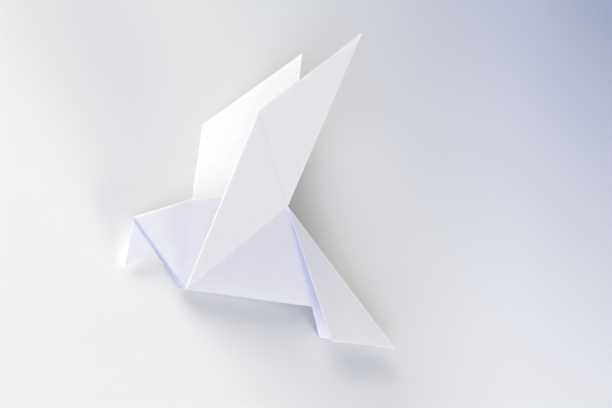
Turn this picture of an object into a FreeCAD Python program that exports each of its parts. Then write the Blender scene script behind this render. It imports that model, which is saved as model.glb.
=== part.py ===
import FreeCAD, Part
import math
import os
from FreeCAD import Vector

# A dove folded from one square sheet of paper. The body is folded flat like a narrow tent: closed
# along the back, open below. Two wings stand out from it, a crimp turns the beak down at the
# front, and another crimp sets the tail outside the body at the rear. The bird lies on its right
# side, on the belly, the edge of the tail and the shoulder of the right wing.

# All sizes are in millimetres. The folding frame has X along the bird from head to tail, Y across
# it with the bird's left side at -Y, Z up, and its zero at the chest, on the middle plane.

# The paper
PAPER = 0.15                # thickness of one layer
LAYER_STEP = 0.2            # from one pressed layer to the next
FOLD_PROUD = 0.02           # how far the rounded paper of a fold stands out from its layers
WING_GAP = 0.3              # air inside a wing, between its outer and its inner layers

# Corners on the middle plane of the bird, as (X, Z)
HEAD = (-28.0, 28.1)
BEAK_TIP = (-28.6, 6.4)
NAPE = (-3.1, 40.6)         # where the neck bends into the back, above the chest
BACK = (13.0, 45.4)         # the highest bend of the back, between the wings
RUMP = (45.0, 45.6)         # where back, wings and tail meet
TAIL_TIP = (116.7, -15.2)

# Corners beside the middle plane, as (X, Z), each with half the distance between its two sides
CHEST = (0.0, 0.0)
CHEST_HALF_WIDTH = 3.6
TAIL_CORNER = (77.2, -14.9)
TAIL_HALF_WIDTH = 6.8
BELLY_END = (76.6, 0.0)     # rear end of the belly edge, hidden inside the tail
BELLY_END_HALF_WIDTH = 1.2
BEAK_ROOT = (-7.0, 22.3)    # rear end of the beak, hidden inside the head
BEAK_ROOT_HALF_WIDTH = 0.8

# The wings, each a parallelogram hinged from the chest to the rump
WING_CHORD = 88.0           # leading edge, from the chest to the shoulder
WING_CORNER_ANGLE = 45.0    # between the hinge and the leading edge
LEFT_WING_SPREAD = 34.0     # angle between the wing and the middle plane, about the hinge
RIGHT_WING_SPREAD = 38.5

LEFT = -1
RIGHT = 1

# How far the layers lie from the middle plane where they meet at a closed fold
INNERMOST = LAYER_STEP / 2
SECOND = LAYER_STEP * 3 / 2
THIRD = LAYER_STEP * 5 / 2


def at(corner, half_width, side):
    """A corner's place, half_width away from the middle plane."""
    return Vector(corner[0], side * half_width, corner[1])


def edge_radius(half_width):
    """Radius of the rounded paper that closes layers lying half_width from its axis."""
    return half_width + PAPER / 2 + FOLD_PROUD


def flat(*corners):
    """A triangle of paper in the body, its thickness taken across the bird."""
    below = [corner - Vector(0, PAPER / 2, 0) for corner in corners]
    return Part.Face(Part.makePolygon(below + below[:1])).extrude(Vector(0, PAPER, 0))


def fold(start, end, start_half=INNERMOST, end_half=INNERMOST):
    """The rounded paper along a fold, wider where more layers lie inside it."""
    along = end - start
    if abs(start_half - end_half) < PAPER / 10:
        return Part.makeCylinder(edge_radius(start_half), along.Length, start, along)
    return Part.makeCone(edge_radius(start_half), edge_radius(end_half), along.Length, start, along)


def knot(centre, half_width):
    """The rounded corner where several folds run together."""
    return Part.makeSphere(edge_radius(half_width) + FOLD_PROUD, centre)


def body_side(side):
    """One side of the body: chest and back in flats with soft creases, and the belly below."""
    chest = at(CHEST, CHEST_HALF_WIDTH + INNERMOST, side)
    head = at(HEAD, THIRD, side)
    nape, back, rump = (at(corner, INNERMOST, side) for corner in (NAPE, BACK, RUMP))
    belly_end = at(BELLY_END, BELLY_END_HALF_WIDTH - INNERMOST, side)
    return [flat(chest, head, nape), flat(chest, nape, back), flat(chest, back, rump),
            flat(chest, rump, belly_end)]


def beak_side(side):
    """One side of the beak, which comes out of the head through a crimp."""
    chest = at(CHEST, CHEST_HALF_WIDTH - INNERMOST, side)
    hidden_root = at(BEAK_ROOT, BEAK_ROOT_HALF_WIDTH + INNERMOST, side)
    root = at(BEAK_ROOT, BEAK_ROOT_HALF_WIDTH - INNERMOST, side)
    front_fold = fold(at(HEAD, (SECOND + THIRD) / 2, side), at(CHEST, CHEST_HALF_WIDTH, side))
    root_fold = fold(at(HEAD, LAYER_STEP, side), at(BEAK_ROOT, BEAK_ROOT_HALF_WIDTH, side))
    return [flat(at(HEAD, SECOND, side), chest, hidden_root),
            flat(at(HEAD, INNERMOST, side), at(BEAK_TIP, INNERMOST, side), root),
            front_fold, root_fold]


def tail_side(side):
    """One side of the tail, which goes round the end of the body in a crimp."""
    belly_end = at(BELLY_END, BELLY_END_HALF_WIDTH + INNERMOST, side)
    inner_corner = at(TAIL_CORNER, TAIL_HALF_WIDTH - INNERMOST, side)
    corner = at(TAIL_CORNER, TAIL_HALF_WIDTH + INNERMOST, side)
    belly_fold = fold(at(RUMP, LAYER_STEP, side), at(BELLY_END, BELLY_END_HALF_WIDTH, side))
    tail_fold = fold(at(RUMP, (SECOND + THIRD) / 2, side), at(TAIL_CORNER, TAIL_HALF_WIDTH, side))
    return [flat(at(RUMP, SECOND, side), belly_end, inner_corner),
            flat(at(RUMP, THIRD, side), corner, at(TAIL_TIP, INNERMOST, side)),
            belly_fold, tail_fold]


def ridges():
    """The closed folds along beak, back and tail, where both sides of the bird meet."""
    tip, head, nape, back, rump, tail = (at(corner, 0, LEFT) for corner in
                                         (BEAK_TIP, HEAD, NAPE, BACK, RUMP, TAIL_TIP))
    return [fold(tip, head), fold(head, nape, THIRD, INNERMOST), fold(nape, back),
            fold(back, rump), fold(rump, tail, THIRD, INNERMOST),
            knot(head, THIRD), knot(nape, INNERMOST), knot(back, INNERMOST), knot(rump, THIRD)]


def wing_frame(side, spread):
    """Corners of a wing's middle surface, and the direction square to it, away from the bird."""
    chest, rump = at(CHEST, CHEST_HALF_WIDTH + INNERMOST, side), at(RUMP, INNERMOST, side)
    hinge = (rump - chest).normalize()
    upright = hinge.cross(Vector(0, 1, 0)).normalize()
    outward = upright.cross(hinge) * side
    turn, corner = math.radians(spread), math.radians(WING_CORNER_ANGLE)
    across = upright * math.cos(turn) + outward * math.sin(turn)
    leading_edge = (hinge * math.cos(corner) + across * math.sin(corner)) * WING_CHORD
    square = outward * math.cos(turn) - upright * math.sin(turn)
    return chest, chest + leading_edge, rump + leading_edge, rump, square


def wing(side, spread):
    """One wing: an outer and an inner layer, and the tail flap's root folded in between."""
    chest, shoulder, tip, rump, square = wing_frame(side, spread)
    layer_half = (WING_GAP + PAPER) / 2 + PAPER / 2

    def layer(offset, *corners):
        outline = [corner + square * (offset - PAPER / 2) for corner in corners]
        return Part.Face(Part.makePolygon(outline + outline[:1])).extrude(square * PAPER)

    root_offset = layer_half - PAPER
    front = square * (layer_half - PAPER / 2)
    return [layer(layer_half, chest, shoulder, tip, rump), layer(root_offset, chest, shoulder, rump),
            layer(-layer_half, chest, shoulder, tip, rump),
            fold(tip, rump, layer_half, layer_half), fold(chest, rump, layer_half, layer_half),
            fold(chest + front, shoulder + front, PAPER / 2, PAPER / 2), knot(chest, layer_half)]


def lay_down(shape):
    """Turn the bird onto its right side, where it rests on three of its own corners."""
    chest, shoulder = wing_frame(RIGHT, RIGHT_WING_SPREAD)[:2]
    tail = at(TAIL_CORNER, TAIL_HALF_WIDTH, RIGHT)
    up = (tail - chest).cross(shoulder - chest).normalize()
    along = (Vector(1, 0, 0) - up * up.x).normalize()
    across = up.cross(along)
    turn = FreeCAD.Matrix(along.x, along.y, along.z, 0, across.x, across.y, across.z, 0,
                          up.x, up.y, up.z, 0, 0, 0, 0, 1)
    laid = shape.copy()
    laid.Placement = FreeCAD.Placement(turn)
    box = laid.BoundBox
    laid.translate(Vector(-box.Center.x, -box.Center.y, -box.ZMin))
    return laid


def folded_sheet():
    """The whole sheet as one solid."""
    layers = ridges()
    for side, spread in ((LEFT, LEFT_WING_SPREAD), (RIGHT, RIGHT_WING_SPREAD)):
        layers += body_side(side) + beak_side(side) + tail_side(side) + wing(side, spread)
    return layers[0].multiFuse(layers[1:]).removeSplitter()


bird = lay_down(folded_sheet().Solids[0])
os.makedirs("parts", exist_ok=True)
bird.exportStep("parts/folded_sheet.step")
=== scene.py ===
import bpy
import math
from mathutils import Matrix, Vector


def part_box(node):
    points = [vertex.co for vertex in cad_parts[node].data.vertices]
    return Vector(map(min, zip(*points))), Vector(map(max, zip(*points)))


# The looks of a dove folded from one sheet of white paper, lying on its side on a pale table.
# Everything is in metres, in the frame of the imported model.

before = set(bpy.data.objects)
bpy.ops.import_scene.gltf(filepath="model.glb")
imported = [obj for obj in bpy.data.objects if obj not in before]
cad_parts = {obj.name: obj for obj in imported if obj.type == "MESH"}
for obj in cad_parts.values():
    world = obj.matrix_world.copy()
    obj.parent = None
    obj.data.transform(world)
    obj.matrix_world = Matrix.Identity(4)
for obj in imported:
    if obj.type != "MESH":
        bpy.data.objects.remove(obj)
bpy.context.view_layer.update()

MILLIMETRE = 0.001
LEFT, RIGHT = -1, 1

# The corners of the folding, in millimetres as in the part's source: along the bird from head to
# tail, half the distance between its sides, and height, with the zero at the chest. The chest is
# taken at its outer layer.
HEAD = (-28.0, 0.0, 28.1)
BEAK_TIP = (-28.6, 0.0, 6.4)
NAPE = (-3.1, 0.0, 40.6)
BACK = (13.0, 0.0, 45.4)
RUMP = (45.0, 0.0, 45.6)
TAIL_TIP = (116.7, 0.0, -15.2)
CHEST = (0.0, 3.7, 0.0)
TAIL_CORNER = (77.2, 6.8, -14.9)
BELLY_END = (76.6, 1.2, 0.0)
WING_CHORD = 88.0
WING_CORNER_ANGLE = math.radians(45.0)
WING_SPREAD = {LEFT: math.radians(34.0), RIGHT: math.radians(38.5)}


def at(corner, side=LEFT):
    """A corner of the folding, on one side of the bird."""
    return Vector((corner[0], side * corner[1], corner[2]))


def wing_corners(side):
    """Shoulder and tip of a wing."""
    chest, rump = at(CHEST, side), at(RUMP, side)
    hinge = (rump - chest).normalized()
    upright = hinge.cross(Vector((0, 1, 0))).normalized()
    outward = upright.cross(hinge) * side
    spread = WING_SPREAD[side]
    across = upright * math.cos(spread) + outward * math.sin(spread)
    leading = (hinge * math.cos(WING_CORNER_ANGLE) + across * math.sin(WING_CORNER_ANGLE)) * WING_CHORD
    return chest + leading, rump + leading


def resting_turn():
    """How the folding is turned when the bird rests on its right chest, tail corner and shoulder."""
    chest, shoulder, tail = at(CHEST, RIGHT), wing_corners(RIGHT)[0], at(TAIL_CORNER, RIGHT)
    up = (tail - chest).cross(shoulder - chest).normalized()
    along = (Vector((1, 0, 0)) - up * up.x).normalized()
    return Matrix((along, up.cross(along), up))


def resting_places():
    """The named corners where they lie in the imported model, in metres."""
    turn = resting_turn()
    points = {name: at(corner) for name, corner in (
        ("head", HEAD), ("beak_tip", BEAK_TIP), ("nape", NAPE), ("back", BACK), ("rump", RUMP),
        ("tail_tip", TAIL_TIP))}
    for side, word in ((LEFT, "left"), (RIGHT, "right")):
        shoulder, tip = wing_corners(side)
        points.update({word + "_chest": at(CHEST, side), word + "_tail_corner": at(TAIL_CORNER, side),
                       word + "_belly_end": at(BELLY_END, side), word + "_shoulder": shoulder,
                       word + "_wing_tip": tip})
    turned = {name: turn @ point * MILLIMETRE for name, point in points.items()}
    low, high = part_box("folded_sheet")
    shift = Vector([(low[i] + high[i] - min(p[i] for p in turned.values())
                     - max(p[i] for p in turned.values())) / 2 for i in range(3)])
    return {name: point + shift for name, point in turned.items()}


class Wire:
    """One value in a material's nodes, with plain arithmetic. A vector uses the vector forms."""

    def __init__(self, tree, socket):
        self.tree, self.socket = tree, socket

    def maths(self, operation, *values):
        return self.tree.add("ShaderNodeMath", {"operation": operation}, self, *values)

    def vectors(self, operation, *values):
        return self.tree.add("ShaderNodeVectorMath", {"operation": operation}, self, *values)

    def __add__(self, other): return self.maths("ADD", other)
    def __sub__(self, other): return self.maths("SUBTRACT", other)
    def __mul__(self, other): return self.maths("MULTIPLY", other)
    def __radd__(self, other): return self + other
    def __rmul__(self, other): return self * other

    def __rsub__(self, other):
        return self.tree.add("ShaderNodeMath", {"operation": "SUBTRACT"}, other, self)

    def least(self, other): return self.maths("MINIMUM", other)
    def most(self, other): return self.maths("MAXIMUM", other)

    def fade(self, start, end):
        """Zero below start and one above end, with a soft change between."""
        return self.tree.add("ShaderNodeMapRange", {"interpolation_type": "SMOOTHSTEP"}, self, start, end)


class Nodes:
    """The node tree of a material or of the world."""

    def __init__(self, owner):
        self.owner = owner
        self.owner.use_nodes = True
        self.tree = self.owner.node_tree
        self.tree.nodes.clear()

    def add(self, kind, settings, *values, output=0, **named):
        """A node with its settings, and with values or wires on its inputs in order or by name."""
        node = self.tree.nodes.new(kind)
        for setting, choice in settings.items():
            setattr(node, setting, choice)
        open_inputs = [socket for socket in node.inputs if socket.enabled]
        pairs = list(zip(open_inputs, values))
        pairs += [(node.inputs[name.replace("_", " ")], value) for name, value in named.items()]
        for socket, value in pairs:
            if isinstance(value, Wire):
                self.tree.links.new(value.socket, socket)
            else:
                socket.default_value = value
        open_outputs = [socket for socket in node.outputs if socket.enabled]
        return Wire(self, open_outputs[output]) if open_outputs else None

    def place(self):
        """The place on the object, in metres."""
        return self.add("ShaderNodeTexCoord", {}, output=3)

    def noise(self, grain, place, detail=2.0, roughness=0.5):
        """A soft random pattern, from zero to one, with grains of the given size."""
        return self.add("ShaderNodeTexNoise", {}, Vector=place, Scale=1 / grain, Detail=detail,
                        Roughness=roughness)

    def blend(self, share, first, second):
        """A colour part of the way from the first to the second."""
        return self.add("ShaderNodeMix", {"data_type": "RGBA"}, share, first, second)

    def dot(self, place, direction):
        """How far a place lies along a direction."""
        along = place.vectors("DOT_PRODUCT", direction)
        along.socket = along.socket.node.outputs["Value"]
        return along

    def length(self, run):
        """How long a vector is."""
        length = run.vectors("LENGTH")
        length.socket = length.socket.node.outputs["Value"]
        return length

    def away_from_line(self, place, start, end):
        """Distance from a straight line between two points."""
        run = end - start
        from_start = place.vectors("SUBTRACT", start)
        share = self.dot(from_start, run / run.length_squared).most(0.0).least(1.0)
        reached = self.add("ShaderNodeVectorMath", {"operation": "SCALE"}, run, Scale=share)
        return self.length(from_start.vectors("SUBTRACT", reached))

    def away_from_lines(self, place, lines):
        """Distance from the nearest of several lines."""
        nearest = None
        for start, end in lines:
            gap = self.away_from_line(place, start, end)
            nearest = gap if nearest is None else nearest.least(gap)
        return nearest

    def on_triangle(self, place, start, end, corner, inner):
        """Shares on a flat triangle's outer face, turned away from inner, and along start to end."""
        square = (end - start).cross(corner - start).normalized()
        if square.dot(inner - start) > 0:
            square.negate()
        depths = []
        for first, second, third in ((start, end, corner), (end, corner, start), (corner, start, end)):
            run = (second - first).normalized()
            inward = (third - first) - run * (third - first).dot(run)
            depths.append(self.dot(place.vectors("SUBTRACT", first), inward.normalized()))
        height = self.dot(place.vectors("SUBTRACT", start), square)
        near = height.fade(0.0, PLANE_REACH / 2) * (1.0 - height.fade(PLANE_REACH, PLANE_REACH * 2))
        beside = depths[1].fade(0.0, CREASE_REACH) * depths[2].fade(0.0, CREASE_REACH) * near
        edge = 1.0 - depths[0].maths("ABSOLUTE").fade(0.0, CREASE_REACH)
        return beside * depths[0].fade(0.0, CREASE_REACH), beside * edge

    def in_view(self):
        """One for rays that the camera sees straight, mirrored or through glass, and otherwise zero."""
        rays = self.add("ShaderNodeLightPath", {}).socket.node.outputs
        straight, mirrored, through = (Wire(self, rays["Is %s Ray" % kind])
                                       for kind in ("Camera", "Glossy", "Transmission"))
        return straight.most(mirrored).most(through)

    def finish(self, shader):
        """The material, with its shader joined to the output."""
        self.add("ShaderNodeOutputMaterial", {}, shader)
        return self.owner


# The paper
PAPER_WHITE = (0.865, 0.87, 0.895, 1.0)
FIBRE_SHADE = (0.835, 0.84, 0.87, 1.0)
# painted highlight: the bright rim where the light catches each rounded fold
FOLD_HIGHLIGHT = (0.95, 0.95, 0.98, 1.0)
LAYER_AND_CREASE_SHADE = (0.74, 0.71, 0.72, 1.0)       # painted shade where another layer lies behind and holds back the light through the paper, and along the wing's crease
TUCK_SHADE = (0.58, 0.62, 0.79, 1.0)        # painted shade: the violet line in the gap where the chest is tucked in
CAST_SHADE = (0.76, 0.82, 0.99, 1.0)        # painted shade: the blue line in the recess before the tail's front fold
THROUGH_LIGHT = (0.98, 0.92, 0.78, 1.0)     # light that comes through the paper is a little warm
THROUGH_SHARE = 0.25
PAPER_IOR = 1.45
BEHIND_SHARE, CREASE_SHARE = 0.10, 0.35     # how far each shade goes from the plain paper's colour
FOLD_HIGHLIGHT_SHARE, TUCK_SHARE, CAST_SHARE = 0.85, 0.75, 0.6

# The sizes of its patterns, and how wide its folds and lines are
FIBRE, CLOUD, BUCKLE = 0.25 * MILLIMETRE, 4.0 * MILLIMETRE, 30.0 * MILLIMETRE
FIBRE_PART, CLOUD_PART = 0.45, 0.55
SHADED, WHITE = 0.3, 0.7                    # levels of the mixed pattern for each of its two colours
FOLD_CORE, FOLD_REACH = 0.25 * MILLIMETRE, 0.95 * MILLIMETRE
CREASE_REACH = 1.2 * MILLIMETRE
TUCK_REACH, CAST_REACH = 1.3 * MILLIMETRE, 2.2 * MILLIMETRE
PLANE_REACH = 0.6 * MILLIMETRE              # half the thickness of a wing
CAST_FOOT = 0.895                           # where the blue line meets the belly, from chest to rear

# Its relief, as parts of a millimetre, and its gloss
FIBRE_HEIGHT, CLOUD_HEIGHT, BUCKLE_HEIGHT, CREASE_DEPTH = 0.02, 0.03, 1.6, 0.04
RELIEF = 0.35
PAPER_ROUGHNESS, FIBRE_ROUGHNESS, FOLD_POLISH = 0.62, 0.2, 0.12


def paper(places):
    """White office paper, pressed at its folds, with painted highlights along the folds and painted shade
    in its creases and gaps.
    """
    nodes = Nodes(bpy.data.materials.new("folded paper"))
    place = nodes.place()
    head, rump, tail_tip = places["head"], places["rump"], places["tail_tip"]
    folds = [(places["beak_tip"], head), (head, places["nape"]), (places["nape"], places["back"]),
             (places["back"], rump), (rump, tail_tip)]
    creases, behind, tucks, casts = [], [], [], []
    for side in ("left", "right"):
        chest, shoulder, tip, tail_corner, belly_end = (
            places[side + corner] for corner in ("_chest", "_shoulder", "_wing_tip", "_tail_corner",
                                                 "_belly_end"))
        folds += [(chest, shoulder), (rump, tip), (rump, tail_corner), (tail_corner, tail_tip)]
        tucks.append((head, chest))
        casts.append((rump, chest.lerp(belly_end, CAST_FOOT)))
        hidden, edge = nodes.on_triangle(place, rump, shoulder, chest, places["nape"])
        behind.append(hidden)
        creases.append(edge)
    behind, at_crease = (pair[0].most(pair[1]) for pair in (behind, creases))
    at_fold = 1.0 - nodes.away_from_lines(place, folds).fade(FOLD_CORE, FOLD_REACH)
    at_tuck = 1.0 - nodes.away_from_lines(place, tucks).fade(FOLD_CORE, TUCK_REACH)
    at_cast = 1.0 - nodes.away_from_lines(place, casts).fade(FOLD_CORE, CAST_REACH)
    fibre = nodes.noise(FIBRE, place, detail=4.0, roughness=0.65)
    cloud = nodes.noise(CLOUD, place, detail=3.0)
    buckle = nodes.noise(BUCKLE, place, detail=1.0)
    uneven = (fibre * FIBRE_PART + cloud * CLOUD_PART).fade(SHADED, WHITE)
    colour = nodes.blend(uneven, FIBRE_SHADE, PAPER_WHITE)
    # painted shade where another layer lies behind the wing, and along the wing's crease
    colour = nodes.blend((behind * BEHIND_SHARE).most(at_crease * CREASE_SHARE), colour, LAYER_AND_CREASE_SHADE)
    # painted shade: a blue line in the recess before the tail's front fold
    colour = nodes.blend(at_cast * CAST_SHARE, colour, CAST_SHADE)
    # painted highlight along every fold
    colour = nodes.blend(at_fold * FOLD_HIGHLIGHT_SHARE, colour, FOLD_HIGHLIGHT)
    # painted shade: a violet line in the gap where the chest is tucked in
    colour = nodes.blend(at_tuck * TUCK_SHARE, colour, TUCK_SHADE)
    roughness = PAPER_ROUGHNESS + fibre * FIBRE_ROUGHNESS - at_fold * FOLD_POLISH
    height = (fibre * FIBRE_HEIGHT + cloud * CLOUD_HEIGHT + buckle * BUCKLE_HEIGHT
              - at_crease * CREASE_DEPTH)
    bump = nodes.add("ShaderNodeBump", {}, Strength=RELIEF, Distance=MILLIMETRE, Height=height)
    face = nodes.add("ShaderNodeBsdfPrincipled", {}, Base_Color=colour, Roughness=roughness, Normal=bump,
                     IOR=PAPER_IOR)
    through = nodes.add("ShaderNodeBsdfTranslucent", {}, Color=THROUGH_LIGHT, Normal=bump)
    return nodes.finish(nodes.add("ShaderNodeMixShader", {}, THROUGH_SHARE, face, through))


# The table
TABLE_SIZE = 6.0
# painted shade on the table's left side
TABLE_LEFT_SHADE = (0.86, 0.86, 0.815, 1.0)
TABLE_RIGHT = (0.97, 0.97, 0.935, 1.0)
# painted shade towards the table's far corner
TABLE_CORNER_SHADE = (0.12, 0.20, 0.48, 1.0)
LEFTWARD = Vector((-0.99, 0.14, 0.0))
LEFT_START, LEFT_END = -0.19, -0.09         # how far leftward the left side's painted shade sets in
FAR_CORNER = Vector((0.31, 0.24, 0.0))      # the table's painted shade lies towards this corner
CORNER_START, CORNER_END = -0.31, 0.53      # its reach: the painted shade isn't full even at the corner
WALL_TINT = (0.80, 0.80, 0.83, 1.0)         # the pale wall, and the table where it runs into it
WALL_START, WALL_END = 0.45, 1.1
TABLE_GRAIN, GRAIN_HEIGHT, GRAIN_RELIEF = 0.6 * MILLIMETRE, 0.1 * MILLIMETRE, 0.05
TABLE_ROUGHNESS, TABLE_SPECULAR = 0.9, 0.1
FULL_STRENGTH = 1.0


def table():
    """The pale table top, with painted shade towards its far corner and its left, and run into the wall.
    """
    bpy.ops.mesh.primitive_plane_add(size=TABLE_SIZE)
    top = bpy.context.object
    top.name = "table"
    nodes = Nodes(bpy.data.materials.new("pale table"))
    place = nodes.place()
    leftward = nodes.dot(place, LEFTWARD).fade(LEFT_START, LEFT_END)
    open_light = nodes.length(place.vectors("SUBTRACT", FAR_CORNER)).fade(CORNER_START, CORNER_END)
    grain = nodes.noise(TABLE_GRAIN, place, detail=3.0)
    # painted shade towards the far corner and on the left side
    colour = nodes.blend(open_light, TABLE_CORNER_SHADE, nodes.blend(leftward, TABLE_RIGHT, TABLE_LEFT_SHADE))
    bump = nodes.add("ShaderNodeBump", {}, Strength=GRAIN_RELIEF, Distance=GRAIN_HEIGHT,
                     Height=grain)
    face = nodes.add("ShaderNodeBsdfPrincipled", {}, Base_Color=colour, Roughness=TABLE_ROUGHNESS,
                     Specular_IOR_Level=TABLE_SPECULAR, Normal=bump)
    wall = nodes.add("ShaderNodeEmission", {}, Color=WALL_TINT, Strength=FULL_STRENGTH)
    into_wall = nodes.length(place).fade(WALL_START, WALL_END) * nodes.in_view()
    top.data.materials.append(nodes.finish(nodes.add("ShaderNodeMixShader", {}, into_wall, face, wall)))


# The camera and the lamps
CAMERA_PLACE = Vector((-0.2510, -0.2090, 0.4061))
CAMERA_VIEW = Vector((0.5209, 0.3949, -0.7568))
CAMERA_RIGHT = Vector((0.8290, -0.0229, 0.5587))
LENS, SENSOR = 61.07, 36.0
LAMP_DISTANCE, LAMP_SIZE = 2.8, 1.6
# Each lamp's name, its turn and height in degrees, its watts and its colour
LAMPS = (("low window", 135.0, 22.0, 72.5, (1.0, 0.97, 0.86)),
         ("high window", 135.0, 48.0, 13.5, (1.0, 0.96, 0.92)),
         ("low wall", 225.0, 22.0, 34.5, (0.70, 0.755, 1.0)),
         ("high wall", 225.0, 48.0, 28.0, (0.695, 0.745, 1.0)),
         ("near wall", 270.0, 22.0, 13.0, (0.74, 0.74, 1.0)),
         ("warm wall", 315.0, 22.0, 45.5, (1.0, 0.97, 0.83)))
ROOM_LIGHT, ROOM_TINT = 0.02, (0.92, 0.94, 1.0, 1.0)


def camera():
    """A camera that looks down on the bird from its left side."""
    data = bpy.data.cameras.new("camera")
    data.lens, data.sensor_width = LENS, SENSOR
    eye = bpy.data.objects.new("camera", data)
    bpy.context.scene.collection.objects.link(eye)
    view = CAMERA_VIEW.normalized()
    right = (CAMERA_RIGHT - view * CAMERA_RIGHT.dot(view)).normalized()
    turn = Matrix((right, right.cross(view), -view)).transposed()
    eye.matrix_world = Matrix.Translation(CAMERA_PLACE) @ turn.to_4x4()
    bpy.context.scene.camera = eye


def lamp(name, turn, height, strength, colour):
    """A square soft lamp that faces the bird from a turn about it and a height above the table."""
    data = bpy.data.lights.new(name, "AREA")
    data.shape, data.size, data.energy, data.color = "SQUARE", LAMP_SIZE, strength, colour
    light = bpy.data.objects.new(name, data)
    bpy.context.scene.collection.objects.link(light)
    light.location = LAMP_DISTANCE * Vector((math.cos(height) * math.cos(turn),
                                             math.cos(height) * math.sin(turn), math.sin(height)))
    light.rotation_euler = light.location.to_track_quat("Z", "Y").to_euler()


def room():
    """Weak even light from all round, and a pale wall where the table ends."""
    nodes = Nodes(bpy.data.worlds.new("room"))
    light = nodes.add("ShaderNodeBackground", {}, Color=ROOM_TINT, Strength=ROOM_LIGHT)
    wall = nodes.add("ShaderNodeBackground", {}, Color=WALL_TINT, Strength=FULL_STRENGTH)
    mixed = nodes.add("ShaderNodeMixShader", {}, nodes.in_view(), light, wall)
    nodes.add("ShaderNodeOutputWorld", {}, mixed)
    bpy.context.scene.world = nodes.owner


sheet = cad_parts["folded_sheet"]
finish = paper(resting_places())
for holder in sheet.material_slots:
    holder.material = finish
table()
camera()
for name, turn, height, strength, colour in LAMPS:
    lamp(name, math.radians(turn), math.radians(height), strength, colour)
room()

scene = bpy.context.scene
scene.view_settings.view_transform = "Standard"
